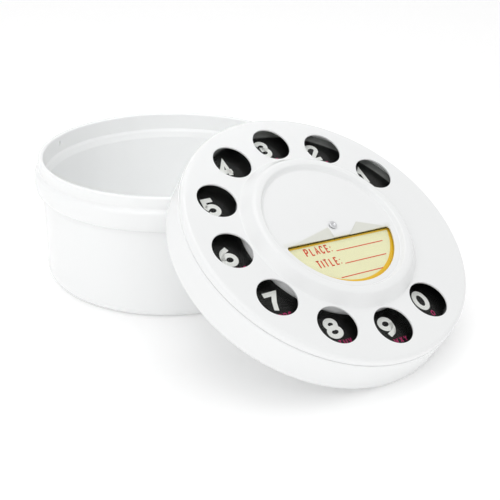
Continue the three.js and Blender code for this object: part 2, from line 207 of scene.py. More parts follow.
class BoxColours(PropertyGroup):
    plastic: tint("White plastic", "Colour of the moulded plastic", (248, 249, 249))
    inside: tint("Backing plastic", "Colour of the hidden white pieces", (232, 232, 230))
    # Painted shade: a darker, yellowish white standing in for the shade and the card's tint where the dish
    # above the window is thin
    thin: tint("Thinned plastic", "Colour where the dish is thin over the card", (226, 227, 216))
    black: tint("Black print", "Ground of the number disc", (9, 9, 9))
    # Painted shade: the disc's white edge beyond the black print, painted grey for the shade it lies in under
    # the plate
    shaded_edge: tint("Bare edge", "Outer edge of the number disc, bare of print", (150, 151, 150))
    digit: tint("Figures", "Ink of the figures", (252, 252, 249))
    letter: tint("Letters", "Ink of the small letters", (200, 40, 110))
    card: tint("Card", "Ground of the name card", (255, 250, 205))
    border: tint("Card border", "Border of the name card", (255, 204, 24))
    # Painted shadow: the window's straight edge casts it on the card, painted as a dark olive line
    shade: tint("Card edge", "Dark line along the card's straight edge", (120, 106, 26))
    red: tint("Card ink", "Ink of the prompts and writing lines", (232, 64, 0))
    steel: tint("Steel", "Pin, spring washer and nut", (232, 233, 235))
    nylon: tint("Nylon", "Spacer bush", (232, 228, 216))
    floor: tint("Floor", "Studio floor and backdrop", (252, 252, 252))


class StudioSettings(PropertyGroup):
    lens: FloatProperty(name="Lens", description="Focal length on a 36 mm sensor, in millimetres",
                        default=FOCAL_PIXELS / PHOTO_WIDTH * SENSOR_WIDTH, min=1.0)
    segments: IntProperty(name="Segments", description="Steps around a turned piece", default=360, min=36)
    key: FloatProperty(name="Key light", description="Strength of the large light high at the front left",
                       default=4.35, min=0.0, unit="POWER")
    inside: FloatProperty(name="Inside light", description="Strength of the small light that looks inside",
                          default=0.011, min=0.0, unit="POWER")
    overhead: FloatProperty(name="Overhead light", description="Strength of the wide light above the box",
                            default=3.75, min=0.0, unit="POWER")
    ambient: FloatProperty(name="Ambient", description="Strength of the studio's even light", default=0.66,
                           min=0.0)
    floor_glow: FloatProperty(name="Floor glow", description="How much the floor lights itself", default=0.15,
                              min=0.0)


class DialBoxSettings(PropertyGroup):
    tub: PointerProperty(type=TubSizes, name="Tub", description="Sizes of the tub")
    lid: PointerProperty(type=LidSizes, name="Lid", description="Sizes of the lid shell")
    wheel: PointerProperty(type=WheelSizes, name="Wheel", description="Sizes of the finger wheel")
    prints: PointerProperty(type=PrintSizes, name="Prints", description="Sizes of the printed pieces")
    colours: PointerProperty(type=BoxColours, name="Colours", description="Colours of the pieces")
    studio: PointerProperty(type=StudioSettings, name="Studio", description="Camera, floor and lights")


def settings():
    return bpy.context.scene.dial_box


def lid_place():
    """Where the leaning lid lies, as a matrix from the lid's own frame."""
    spin = next(j for j in frame["joints"] if j["name"] == "wheel_spin")
    up = Vector(spin["axis"]).normalized()
    right = LID_UPRIGHT.cross(up).normalized()
    upright = up.cross(right)
    place = Matrix((right, upright, up)).transposed().to_4x4()
    place.translation = Vector(spin["pos_m"])
    return place


# Shader building

class Value:
    """A node socket that takes part in arithmetic. Each expression adds its Math node."""

    def __init__(self, shader, socket):
        self.shader = shader
        self.socket = socket

    def _math(self, operation, *operands):
        return self.shader.add("ShaderNodeMath", {"operation": operation}, dict(enumerate(operands)))

    def __add__(self, other):
        return self._math("ADD", self, other)

    def __sub__(self, other):
        return self._math("SUBTRACT", self, other)

    def __rsub__(self, other):
        return self._math("SUBTRACT", other, self)

    def __mul__(self, other):
        return self._math("MULTIPLY", self, other)

    __radd__ = __add__
    __rmul__ = __mul__

    def above(self, edge, soft):
        """0 below the edge and 1 above it, with a soft step."""
        return self.shader.add("ShaderNodeMapRange", {"interpolation_type": "SMOOTHSTEP"},
                               {"Value": self, "From Min": edge - soft, "From Max": edge + soft})

    def or_more(self, other):
        """The larger of this value and another."""
        return self._math("MAXIMUM", self, other)


class Shader:
    """A material, or the world, and the nodes that make it."""

    def __init__(self, holder):
        self.holder = holder
        holder.use_nodes = True
        self.nodes = holder.node_tree.nodes
        self.links = holder.node_tree.links
        self.nodes.clear()

    def add(self, kind, picks=None, feeds=None, out=0):
        """Adds a node, sets its settings and then its sockets, and returns one of its outputs."""
        node = self.nodes.new(kind)
        for key, value in (picks or {}).items():
            setattr(node, key, value)
        for key, value in (feeds or {}).items():
            if isinstance(value, Value):
                self.links.new(value.socket, node.inputs[key])
            else:
                node.inputs[key].default_value = value
        return Value(self, node.outputs[out]) if len(node.outputs) else None

    def place(self):
        """The piece's own coordinates, in metres."""
        return self.add("ShaderNodeTexCoord", out="Object")

    def dial(self, off_x=0.0, off_y=0.0):
        """Coordinates in the plane of the dial, in metres: across, upright and away from a point near its
        centre."""
        place = lid_place()
        from_centre = self.add("ShaderNodeVectorMath", {"operation": "SUBTRACT"},
                               {0: self.place(), 1: place.translation})
        x, y = (self.add("ShaderNodeVectorMath", {"operation": "DOT_PRODUCT"},
                         {0: from_centre, 1: place.col[axis].to_3d()}, out="Value") for axis in (0, 1))
        x, y = x - off_x, y - off_y
        return x, y, self.add("ShaderNodeMath", {"operation": "SQRT"}, {0: x * x + y * y})

    def noise(self, scale, detail=2.0, roughness=0.5):
        return self.add("ShaderNodeTexNoise", None,
                        {"Vector": self.place(), "Scale": scale, "Detail": detail, "Roughness": roughness})

    def blend(self, share, first, second):
        """A colour between two others."""
        return self.add("ShaderNodeMix", {"data_type": "RGBA"}, {0: share, 6: first, 7: second}, out=2)

    def bump(self, height, strength, distance):
        return self.add("ShaderNodeBump", None, {"Height": height, "Strength": strength, "Distance": distance})

    def finish(self, surface, output="ShaderNodeOutputMaterial"):
        self.add(output, None, {"Surface": surface})
        return self.holder

    def principled(self, feeds):
        """Ends the material with a Principled shader that takes these values."""
        return self.finish(self.add("ShaderNodeBsdfPrincipled", None, feeds))


def surface(name, colour):
    """A new material's shader, with the colour that the viewport shows."""
    made = bpy.data.materials.new(name)
    made.diffuse_color = (*colour, 1.0)
    return Shader(made)


def rgba(colour, factor=1.0):
    return (*(min(1.0, c * factor) for c in colour), 1.0)


def moulded_plastic(name, colour, gloss, thin_shade_colour=None):
    """Glossy moulded plastic: a faint cloudiness, uneven gloss and the slight ripple of a moulding. Where the
    dish is thin over the card, a painted shade colour darkens it and tints it towards the card."""
    shader = surface(name, colour)
    cloud = shader.noise(28.0)
    speck = shader.noise(900.0, 1.0)
    ripple = shader.noise(160.0, 1.0)
    body = shader.blend(cloud, rgba(colour, 0.985), rgba(colour, 1.01))
    if thin_shade_colour:
        # Painted shade: where the dish is thin over the card, the colour is darkened and tinted towards the
        # card
        body = shader.blend(thin_shade_share(shader), body, rgba(thin_shade_colour))
    return shader.principled({
        "Base Color": body,
        "Roughness": cloud * 0.04 + speck * 0.03 + (gloss - 0.03),
        "Normal": shader.bump(ripple, 0.12, 0.00004),
        "IOR": 1.5,
    })


def bevels(wheel):
    """The two shallow bevels above the window, each by its deep corner, its peak and its far end."""
    margin, inset = 0.4 * MM, 1.2 * MM
    low, high, far = -wheel.window_edge - margin, -margin, wheel.window_radius - inset
    return [(Vector((near * MM, low)), Vector((peak * MM, high)), Vector((math.copysign(far, near), low)))
            for near, peak in BEVEL_CORNERS]


def thin_shade_share(shader):
    """Where painted shade darkens the dish: in the two bevels, where it is thin over the card, and, less, along
    the window's straight edge.
    """
    wheel = settings().wheel
    x, y, _ = shader.dial()

    def beyond(start, end, soft):
        """0 on one side of the line from start to end and 1 on the other."""
        along = (end - start).normalized()
        return ((y - start.y) * along.x - (x - start.x) * along.y).above(0.0, soft)

    edge = -wheel.window_edge
    # Painted shade along the window's straight edge, at half strength
    share = (1.0 - y.above(edge + 1.3 * MM, 1.3 * MM)) * 0.5
    # Painted shade in the two bevels, at nearly full strength
    for corner, peak, end in bevels(wheel):
        first, second = (corner, peak) if end.x < 0 else (peak, corner)
        third, fourth = (end, peak) if end.x > 0 else (peak, end)
        share = share.or_more(beyond(first, second, 0.12 * MM) * beyond(third, fourth, 0.5 * MM) * 0.85)
    dish = y.above(edge - 0.6 * MM, 0.1 * MM) * (1.0 - y.above(0.0, 0.3 * MM))
    width = wheel.window_radius
    return share * dish * x.above(-width, 1.0 * MM) * (1.0 - x.above(width, 1.0 * MM))


def number_print(name, colours, sizes):
    """The number disc's face: black, with the edge that the print leaves bare painted grey as shade."""
    shader = surface(name, colours.black)
    _, _, radius = shader.dial(*BLACK_MIDDLE)
    wobble, waver = shader.noise(60.0), 0.0006
    # Beyond the black print the disc is painted grey: painted shade for its white edge under the plate
    bare = (radius + wobble * waver - waver / 2).above(sizes.black_radius, 0.8 * MM)
    grain = shader.noise(2500.0, 1.0)
    black = shader.blend(grain, rgba(colours.black, 0.8), rgba(colours.black, 1.2))
    return shader.principled({
        "Base Color": shader.blend(bare, black, rgba(colours.shaded_edge)),
        "Roughness": grain * 0.06 + 0.5,
        "Normal": shader.bump(grain, 0.05, 0.00002),
        "Specular IOR Level": 0.25,
    })


def printed_ink(name, colour):
    """Printed ink, with the faint unevenness of a screen print."""
    shader = surface(name, colour)
    grain = shader.noise(1800.0, 2.0)
    return shader.principled({
        "Base Color": shader.blend(grain, rgba(colour, 0.94), rgba(colour, 1.04)),
        "Roughness": grain * 0.08 + 0.45,
        "Specular IOR Level": 0.3,
    })


def clear_film(name, roughness, reflectance):
    """A thin clear film: what lies under it shows, and its face mirrors at low angles."""
    shader = surface(name, (0.9, 0.92, 0.93))
    scuff = shader.noise(70.0, 3.0)
    gloss = shader.add("ShaderNodeBsdfGlossy", None,
                       {"Color": (1.0, 1.0, 1.0, 1.0), "Roughness": scuff * 0.03 + roughness})
    through = shader.add("ShaderNodeBsdfTransparent", None, {"Color": (0.985, 0.99, 0.985, 1.0)})
    facing = shader.add("ShaderNodeLayerWeight", None, {"Blend": 0.5}, out="Facing")
    grazing = shader.add("ShaderNodeMath", {"operation": "POWER"}, {0: facing, 1: 5.0})
    sheen = grazing * (1.0 - reflectance) + reflectance
    return shader.finish(shader.add("ShaderNodeMixShader", None, {0: sheen, 1: through, 2: gloss}))


def name_card_print(name, colours, sizes):
    """The name card's face: pale yellow paper with a golden border, and a painted shadow of the window's edge
    along its straight edge.
    """
    shader = surface(name, colours.card)
    _, height, _ = shader.dial()
    _, _, radius = shader.dial(0.0, BORDER_RISE)
    window_edge = settings().wheel.window_edge
    soft = 0.12 * MM
    inner = sizes.border_radius - sizes.border
    rim = radius.above(inner, soft) * (1.0 - radius.above(sizes.border_radius, soft))
    border = rim.or_more(height.above(-window_edge - 0.9 * MM, soft))
    # Painted shadow of the window's straight edge, a dark line along the card's top
    edge_shadow_share = height.above(-window_edge - 0.1 * MM, soft)
    fibre = shader.noise(1500.0, 4.0, 0.7)
    stain = shader.noise(90.0, 2.0)
    paper = shader.blend(stain, rgba(colours.card, 0.96), rgba(colours.card, 1.03))
    paper = shader.blend(fibre * 0.12, paper, (1.0, 1.0, 0.9, 1.0))
    printed = shader.blend(border, paper, rgba(colours.border))
    return shader.principled({
        "Base Color": shader.blend(edge_shadow_share, printed, rgba(colours.shade)),
        "Roughness": fibre * 0.15 + 0.5,
        "Normal": shader.bump(fibre, 0.2, 0.00003),
        "Specular IOR Level": 0.3,
    })


def turned_steel(name, colour):
    """Pressed steel with fine turning marks."""
    shader = surface(name, colour)
    marks = shader.noise(3000.0, 2.0)
    return shader.principled({
        "Base Color": shader.blend(marks, rgba(colour, 0.9), rgba(colour, 1.05)),
        "Metallic": 1.0,
        "Roughness": marks * 0.15 + 0.3,
        "Normal": shader.bump(marks, 0.1, 0.00002),
    })


def milky_nylon(name, colour):
    """Unpainted nylon with a milky cloudiness."""
    shader = surface(name, colour)
    cloud = shader.noise(400.0, 3.0)
    return shader.principled({
        "Base Color": shader.blend(cloud, rgba(colour, 0.95), rgba(colour, 1.03)),
        "Roughness": cloud * 0.1 + 0.42,
        "Normal": shader.bump(cloud, 0.15, 0.00003),
    })


def pale_floor(name, colour, glow):
    """A matt pale floor that lights itself a little."""
    shader = surface(name, colour)
    mottle = shader.noise(3.0)
    return shader.principled({
        "Base Color": shader.blend(mottle, rgba(colour, 0.99), rgba(colour)),
        "Roughness": mottle * 0.1 + 0.7,
        "Emission Color": rgba(colour),
        "Emission Strength": glow,
        "Specular IOR Level": 0.2,
    })


def material(name):
    """One of the finishes, made on its first use."""
    known = bpy.data.materials.get(name)
    if known:
        return known
    colours, sizes = settings().colours, settings().prints
    maker, *values = {
        "glossy_plastic": (moulded_plastic, colours.plastic, 0.2),
        "wheel_plastic": (moulded_plastic, colours.plastic, 0.2, colours.thin),
        "backing_plastic": (moulded_plastic, colours.inside, 0.32),
        "dial_print": (number_print, colours, sizes),
        "figure_ink": (printed_ink, colours.digit),
        "letter_ink": (printed_ink, colours.letter),
        "card_ink": (printed_ink, colours.red),
        "disc_film": (clear_film, 0.02, 0.004),
        "card_film": (clear_film, 0.06, 0.02),
        "card_print": (name_card_print, colours, sizes),
        "turned_steel": (turned_steel, colours.steel),
        "white_nylon": (milky_nylon, colours.nylon),
        "studio_floor": (pale_floor, colours.floor, settings().studio.floor_glow),
    }[name]
    return maker(name, *values)


def refinish(node, finish):
    """Gives a CAD node that stays in view one of the finishes."""
    held = frame["nodes"][node].data.materials
    held.clear()
    held.append(material(finish))


# Mesh building

def linked(name, data):
    """A new object in the scene's collection."""
    made = bpy.data.objects.new(name, data)
    bpy.context.scene.collection.objects.link(made)
    return made


class Skin:
    """A mesh under construction whose points are shared where they fall together."""

    def __init__(self):
        self.mesh = bmesh.new()
        self.points = {}

    def point(self, place):
        key = tuple(round(c * 2e6) for c in place)
        if key not in self.points:
            self.points[key] = self.mesh.verts.new(place)
        return self.points[key]

    def face(self, places):
        corners = []
        for place in places:
            corner = self.point(place)
            if corner not in corners:
                corners.append(corner)
        if len(corners) > 2 and self.mesh.faces.get(corners) is None:
            self.mesh.faces.new(corners)

    def strip(self, first, second, closed=True):
        """Faces between two rows of points of one length."""
        count = len(first)
        for i in range(count if closed else count - 1):
            j = (i + 1) % count
            self.face([first[i], first[j], second[j], second[i]])

    def strips(self, rows, closed=True):
        for first, second in zip(rows, rows[1:]):
            self.strip(first, second, closed)

    def crease(self, pairs):
        """Marks the edges between pairs of points as sharp."""
        for a, b in pairs:
            edge = self.mesh.edges.get((self.point(a), self.point(b)))
            if edge:
                edge.smooth = False

    def obj(self, name, finish, on_lid=True):
        """The finished object, faces outwards and smooth, with normals that keep the flats flat."""
        bmesh.ops.remove_doubles(self.mesh, verts=self.mesh.verts[:], dist=2e-6)
        bmesh.ops.recalc_face_normals(self.mesh, faces=self.mesh.faces[:])
        for face in self.mesh.faces:
            face.smooth = True
        data = bpy.data.meshes.new(name)
        self.mesh.to_mesh(data)
        self.mesh.free()
        made = linked(name, data)
        data.materials.append(material(finish))
        if on_lid:
            data.transform(lid_place())
        flats = made.modifiers.new("flats", "WEIGHTED_NORMAL")
        flats.keep_sharp = True
        flats.weight = 70
        return made


def rounded(corners, steps=5):
    """An outline in (radius, height) with a rounding at each corner that gives one."""
    outline = []
    count = len(corners)
    for i, corner in enumerate(corners):
        here = Vector(corner[:2])
        turn = corner[2] if len(corner) > 2 else 0
        if not turn:
            outline.append(tuple(here))
            continue
        before = (Vector(corners[i - 1][:2]) - here).normalized()
        after = (Vector(corners[(i + 1) % count][:2]) - here).normalized()
        half = before.angle(after) / 2
        reach = turn / math.tan(half)
        centre = here + (before + after).normalized() * (turn / math.sin(half))
        start, end = here + before * reach - centre, here + after * reach - centre
        sweep = start.angle_signed(end)
        for k in range(steps + 1):
            outline.append(tuple(centre + Matrix.Rotation(-sweep * k / steps, 2) @ start))
    return outline


def polar(radius, turn):
    return radius * math.cos(turn), radius * math.sin(turn)


def ring_points(radius, height, count):
    """A circle about the axis as (x, y, z) points."""
    return [(*polar(radius, 2 * math.pi * i / count), height) for i in range(count)]


def lathe(skin, outline, count, closed=True):
    """Turns an outline about the axis. A point on the axis becomes one point."""
    rows = [ring_points(r, z, count) if r > 1e-9 else [(0.0, 0.0, z)] * count for r, z in outline]
    for first, second in zip(rows, rows[1:] + rows[:1] if closed else rows[1:]):
        if first[0][0] > 0 or second[0][0] > 0:
            skin.strip(first, second)


def bow(x, y, rx, ry, start, end, steps=20):
    """Points along an elliptical arc, angles in degrees."""
    turn = [math.radians(start + (end - start) * i / steps) for i in range(steps + 1)]
    return [(x + rx * math.cos(a), y + ry * math.sin(a)) for a in turn]


def arc_points(centre, radius, start, end, steps):
    return bow(*centre, radius, radius, start, end, steps)


def half_moon(radius, edge, corner, straight=()):
    """The half-moon below a straight edge as a closed row of (x, y) points, starting at the left."""
    middle = math.sqrt((radius - corner) ** 2 - (edge + corner) ** 2)
    slope = math.degrees(math.atan2(-(edge + corner), middle))
    row = [(-middle, -edge)] + [(x, -edge) for x in sorted(straight)]
    row += arc_points((middle, -(edge + corner)), corner, 90, slope, 10)
    row += arc_points((0.0, 0.0), radius, slope, -180 - slope, 120)[1:-1]
    row += arc_points((-middle, -(edge + corner)), corner, 180 - slope, 90, 10)[:-1]
    return row


def slab(name, row, bottom, top, finish):
    """A flat piece cut to a closed outline, with slightly eased edges."""
    skin = Skin()
    edge = 0.06 * MM
    centre = Vector((sum(x for x, _ in row) / len(row), sum(y for _, y in row) / len(row)))
    reach = max((Vector(p) - centre).length for p in row)

    def shrunk(z, by):
        return [(*(centre + (Vector(p) - centre) * (1 - by / reach)), z) for p in row]

    levels = [shrunk(top, edge), shrunk(top - edge, 0), shrunk(bottom + edge, 0), shrunk(bottom, edge)]
    skin.strips(levels)
    skin.face(levels[0])
    skin.face(levels[-1])
    return skin.obj(name, finish)


def inside(point, loop):
    """Whether a point lies inside a closed row of points."""
    held = False
    for (x0, y0), (x1, y1) in zip(loop, loop[1:] + loop[:1]):
        if (y0 > point[1]) != (y1 > point[1]) and point[0] < (x1 - x0) * (point[1] - y0) / (y1 - y0) + x0:
            held = not held
    return held


# Printed figures and letters, drawn as strokes around their own middle

def figure_strokes(figure, w, h):
    """Centre lines of a bold upright figure inside a box w wide and h high."""
    x, y = w / 2, h / 2
    low = h * 0.27
    if figure == 0:
        return [bow(0, 0, x, y, 0, 360, 48)]
    if figure == 1:
        return [[(-x * 0.55, y * 0.52), (x * 0.05, y), (x * 0.05, -y)]]
    if figure == 2:
        return [bow(0, y - low, x, low, 170, -30) + [(-x, -y), (x, -y)]]
    if figure == 3:
        upper = bow(0, y - low * 0.92, x * 0.92, low * 0.92, 160, -90)
        return [upper + bow(0, -y + low, x, low, 90, -160)]
    if figure == 4:
        return [[(x * 0.42, -y), (x * 0.42, y), (-x, -y * 0.42), (x * 1.05, -y * 0.42)]]
    if figure == 5:
        return [[(x * 0.85, y), (-x * 0.72, y), (-x * 0.86, y * 0.1)]
                + bow(-x * 0.02, -y + low * 1.1, x, low * 1.1, 138, -155)]
    if figure == 6:
        return [[(x * 0.55, y), (x * 0.1, y * 0.86)] + bow(0, -y * 0.2, x, y * 1.0, 105, 180)
                + bow(0, -y + low * 1.12, x, low * 1.12, 180, 540, 40)]
    if figure == 7:
        return [[(-x, y), (x, y), (x * 0.2, 0), (-x * 0.25, -y)]]
    if figure == 8:
        return [bow(0, y - low * 0.9, x * 0.86, low * 0.9, 0, 360, 40), bow(0, -y + low, x, low, 0, 360, 40)]
    return [[(-x * 0.55, -y), (-x * 0.1, -y * 0.86)] + bow(0, y * 0.2, x, y * 1.0, -75, 0)
            + bow(0, y - low * 1.12, x, low * 1.12, 0, 360, 40)]


# Capital letters: a few are wider or narrower than the rest. Their strokes are rows of x,y points, in
# hundredths of a box from -0.5 to 0.5 both ways
LETTER_WIDTHS = {":": 0.25, "I": 0.25, "M": 1.15, "W": 1.4}
LETTER_GAP = 0.28
LETTER_STROKES = {
    "A": "-50,-50 0,50 50,-50 / -30,-15 30,-15",
    "B": "-45,-50 -45,50 10,50 38,38 38,14 10,0 -45,0 / 10,0 45,-14 45,-38 10,-50 -45,-50",
    "C": "45,30 20,50 -20,50 -45,25 -45,-25 -20,-50 20,-50 45,-30",
    "D": "-45,-50 -45,50 10,50 45,20 45,-20 10,-50 -45,-50",
    "E": "45,50 -40,50 -40,-50 45,-50 / -40,0 30,0",
    "F": "45,50 -40,50 -40,-50 / -40,0 30,0",
    "G": "45,30 20,50 -20,50 -45,25 -45,-25 -20,-50 20,-50 45,-30 45,-2 10,-2",
    "H": "-42,50 -42,-50 / 42,50 42,-50 / -42,0 42,0",
    "I": "0,50 0,-50",
    "J": "30,50 30,-25 10,-50 -15,-50 -35,-25",
    "K": "-42,50 -42,-50 / 45,50 -42,-5 / -10,15 45,-50",
    "L": "-35,50 -35,-50 42,-50",
    "M": "-50,-50 -50,50 0,-20 50,50 50,-50",
    "N": "-45,-50 -45,50 45,-50 45,50",
    "O": "-20,50 20,50 45,25 45,-25 20,-50 -20,-50 -45,-25 -45,25 -20,50",
    "P": "-45,-50 -45,50 15,50 42,36 42,12 15,-4 -45,-4",
    "R": "-45,-50 -45,50 15,50 42,36 42,14 15,0 -45,0 / 10,0 45,-50",
    "S": "42,34 20,50 -20,50 -42,32 -42,16 42,-14 42,-32 20,-50 -20,-50 -42,-34",
    "T": "-48,50 48,50 / 0,50 0,-50",
    "U": "-45,50 -45,-25 -20,-50 20,-50 45,-25 45,50",
    "V": "-48,50 0,-50 48,50",
    "W": "-60,50 -30,-50 0,30 30,-50 60,50",
    "X": "-45,50 45,-50 / -45,-50 45,50",
    "Y": "-48,50 0,0 48,50 / 0,0 0,-50",
    ":": "0,18 0,6 / 0,-50 0,-38",
}


def letter_strokes(character):
    return [[tuple(int(n) / 100 for n in point.split(",")) for point in drawn.split()]
            for drawn in LETTER_STROKES[character].split("/")]


def stroke(skin, line, width, bottom, top):
    """A flat ribbon of ink along a line, with mitred corners."""
    points = [Vector(p) for p in line]
    loop = len(points) > 3 and (points[0] - points[-1]).length < 1e-9
    if loop:
        points = points[:-1]
    count = len(points)
    left, right = [], []
    for i, here in enumerate(points):
        before = points[i - 1] if loop or i else None
        after = points[(i + 1) % count] if loop or i < count - 1 else None
        into = (here - before).normalized() if before is not None else None
        out = (after - here).normalized() if after is not None else None
        into, out = into or out, out or into
        side = Vector((-(into + out).y, (into + out).x)).normalized()
        square = Vector((-into.y, into.x))
        reach = width / 2 / max(0.45, side.dot(square))
        left.append(here + side * reach)
        right.append(here - side * reach)
    for z in (top, bottom):
        skin.strip([(*p, z) for p in left], [(*p, z) for p in right], closed=loop)
    for row in (left, right):
        skin.strip([(*p, top) for p in row], [(*p, bottom) for p in row], closed=loop)
    if not loop:
        for i in (0, -1):
            skin.face([(*left[i], top), (*right[i], top), (*right[i], bottom), (*left[i], bottom)])


def write(skin, text, x, y, height, width_share, line, bottom, top):
    """Letters from left to right, each a stroke drawing, starting at their lower left."""
    spread = height * width_share
    middle = y + height / 2
    for character in text:
        wide = LETTER_WIDTHS.get(character, 1.0) * spread
        for drawn in letter_strokes(character):
            placed = [(x + wide / 2 + px * (spread - line), middle + py * (height - line)) for px, py in drawn]
            stroke(skin, placed, line, bottom, top)
        x += wide + LETTER_GAP * spread


# The pieces

class DIALBOX_OT_tub(Operator):
    """Builds the open tub with its round bead, shoulder, lip, inner ledge and two snap holes"""

    bl_idname = "dial_box.tub"
    bl_label = "Tub"

    def execute(self, context):
        s = settings().tub
        shoulder = s.height - s.lip_height
        lip_inner = s.lip_radius - s.lip_wall
        wall_inner = s.wall_radius - s.wall
        count = settings().studio.segments
        middle, half = shoulder - s.bead_height / 2, s.bead_height / 2
        squareness, bead_steps = 2.6, 32
        bead = []
        for i in range(bead_steps + 1):
            a = math.radians(-90 + 180 * i / bead_steps)
            across, along = (abs(share) ** (2 / squareness) for share in (math.cos(a), math.sin(a)))
            rise = math.copysign(half * along, math.sin(a))
            bead.append((s.wall_radius + s.bead_reach * across, middle + rise))
        bead[0] = (s.wall_radius, shoulder - s.bead_height)
        hole_z = s.height - s.hole_below
        # Half the height of the band of the lip that is closed around each snap hole
        patch = 1.6 * MM
        outline = [(0.0, 0.0), (s.wall_radius * 0.5, 0.0)]
        outline += arc_points((s.wall_radius - s.base_round, s.base_round), s.base_round, -90, 0, 14)
        outline += [(s.wall_radius, s.base_round + (bead[0][1] - s.base_round) * k / 4) for k in (1, 2, 3)]
        # The bead stops short of the lip, whose foot is one rounding
        kept = [p for p in bead if p[1] < middle or p[0] > s.lip_radius + 0.9 * MM]
        outline += kept[:-1]
        outline += rounded([kept[-1], (s.lip_radius, shoulder, 0.7 * MM), (s.lip_radius, s.height)], 6)[:-1]
        outer_low, outer_high = (s.lip_radius, hole_z - patch), (s.lip_radius, hole_z + patch)
        outline += [outer_low, outer_high]
        for centre, start in ((s.lip_radius - s.lip_round, 0), (lip_inner + s.lip_round, 90)):
            outline += arc_points((centre, s.height - s.lip_round), s.lip_round, start, start + 90, 8)
        inner_high, inner_low = (lip_inner, hole_z + patch), (lip_inner, hole_z - patch)
        outline += [inner_high, inner_low]
        edge = s.height - s.ledge_below
        ledge = [(lip_inner, inner_low[1]), (lip_inner, edge, 0.5 * MM),
                 (lip_inner - s.ledge_drop / 2, edge - s.ledge_drop, 0.5 * MM),
                 (wall_inner, edge - s.ledge_drop - s.ledge_height, 1.6 * MM), (wall_inner, s.height / 2)]
        outline += rounded(ledge, 5)[1:-1]
        outline += [(wall_inner, shoulder * k / 4) for k in (3, 2, 1)][1:]
        outline += arc_points((wall_inner - s.floor_round, s.floor + s.floor_round), s.floor_round, 0, -90, 10)
        outline += [(s.wall_radius * 0.5, s.floor), (0.0, s.floor)]
        skin = Skin()
        step = 2 * math.pi / count
        reach = math.ceil(patch / s.lip_radius / step)
        first = round(s.hole_angle / step)
        skipped = {(first + turn + k) % count for turn in (0, count // 2) for k in range(-reach, reach)}
        for (r0, z0), (r1, z1) in zip(outline, outline[1:]):
            low, high = ring_points(r0, z0, count), ring_points(r1, z1, count)
            through = {(r0, z0), (r1, z1)} in ({outer_low, outer_high}, {inner_low, inner_high})
            for i in range(count):
                if through and i in skipped:
                    continue
                j = (i + 1) % count
                skin.face([low[i], low[j], high[j], high[i]])
        for turn in (0, count // 2):
            cells = [(first + turn + k) * step for k in range(-reach, reach + 1)]
            border = [(a, hole_z - patch) for a in cells] + [(a, hole_z + patch) for a in reversed(cells)]
            middle = (first + turn) * step
            outer = self.snap_hole(skin, s, border, middle, hole_z, s.lip_radius, -0.15 * MM)
            inner = self.snap_hole(skin, s, border, middle, hole_z, lip_inner, 0.15 * MM)
            skin.strip(outer, inner)
        tub = skin.obj("tub_body", "glossy_plastic", on_lid=False)
        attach(tub, "tub")
        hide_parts("tub")
        return {"FINISHED"}

    def snap_hole(self, skin, s, border, middle, height, radius, sink):
        """Closes a gap in one face of the lip around a round hole, and returns the hole's sunk edge."""
        def wrap(row, at):
            return [(*polar(at, a), z) for a, z in row]

        ways = [math.atan2(z - height, (a - middle) * s.lip_radius) for a, z in border]
        edge, eased = [], []
        for i, way in enumerate(ways):
            turn = (ways[(i + 1) % len(ways)] - way) % (2 * math.pi)
            parts = max(1, round(turn / math.radians(12)))
            between = [way + turn * k / parts for k in range(parts + 1)]
            rows = [[(middle + r * math.cos(w) / radius, height + r * math.sin(w)) for w in between]
                    for r in (s.hole_radius + 0.15 * MM, s.hole_radius)]
            near = wrap([border[i], border[(i + 1) % len(border)]], radius)
            skin.face(near + wrap(rows[0], radius)[::-1])
            eased += wrap(rows[0], radius)[:-1]
            edge += wrap(rows[1], radius + sink)[:-1]
        skin.strip(eased, edge)
        return edge


class DIALBOX_OT_lid_shell(Operator):
    """Builds the lid's skirt and deck with the wheel's seat, the pivot's boss and the two snap pips"""

    bl_idname = "dial_box.lid_shell"
    bl_label = "Lid Shell"

    def execute(self, context):
        s = settings().lid
        inner = s.radius - s.skirt_wall
        bottom = -s.skirt_top - s.skirt_length
        under = -s.deck_top - s.deck
        corners = [
            (s.bore, -s.deck_top, 0.15 * MM), (s.seat_radius - s.seat_wall, -s.deck_top, 0.3 * MM),
            (s.seat_radius - s.seat_wall, -s.seat_top, 0.3 * MM), (s.seat_radius, -s.seat_top, 0.3 * MM),
            (s.seat_radius, -s.deck_top, 0.1 * MM), (s.recess_radius, -s.deck_top, 0.1 * MM),
            (s.recess_radius, -s.skirt_top, 0.2 * MM), (s.radius, -s.skirt_top, 0.5 * MM),
            (s.radius, bottom, s.edge_round), (inner, bottom, s.edge_round), (inner, under, s.corner_round),
            (s.boss_radius, under, 0.5 * MM), (s.boss_radius, under - s.boss_height, 0.3 * MM),
            (s.bore, under - s.boss_height, 0.15 * MM),
        ]
        skin = Skin()
        lathe(skin, rounded(corners, 6), settings().studio.segments)
        pip_height = bottom + 1.4 * MM
        tip, root = inner - s.pip_reach, inner + s.skirt_wall / 2
        profile = [(0.0, tip)] + arc_points((0.0, tip + s.pip_radius), s.pip_radius, -80, 0, 8)
        profile += [(s.pip_radius, root), (0.0, root)]
        for turn in (math.pi / 2, -math.pi / 2):
            rows = []
            for r, out in profile:
                local = [Vector((out, y, pip_height + z)) for y, z, _ in ring_points(r, 0.0, 24)]
                rows.append([tuple(Matrix.Rotation(turn, 3, "Z") @ p) for p in local])
            skin.strips(rows)
        shell = skin.obj("lid_skirt_and_deck", "glossy_plastic")
        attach(shell, "lid")
        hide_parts("lid_shell")
        return {"FINISHED"}


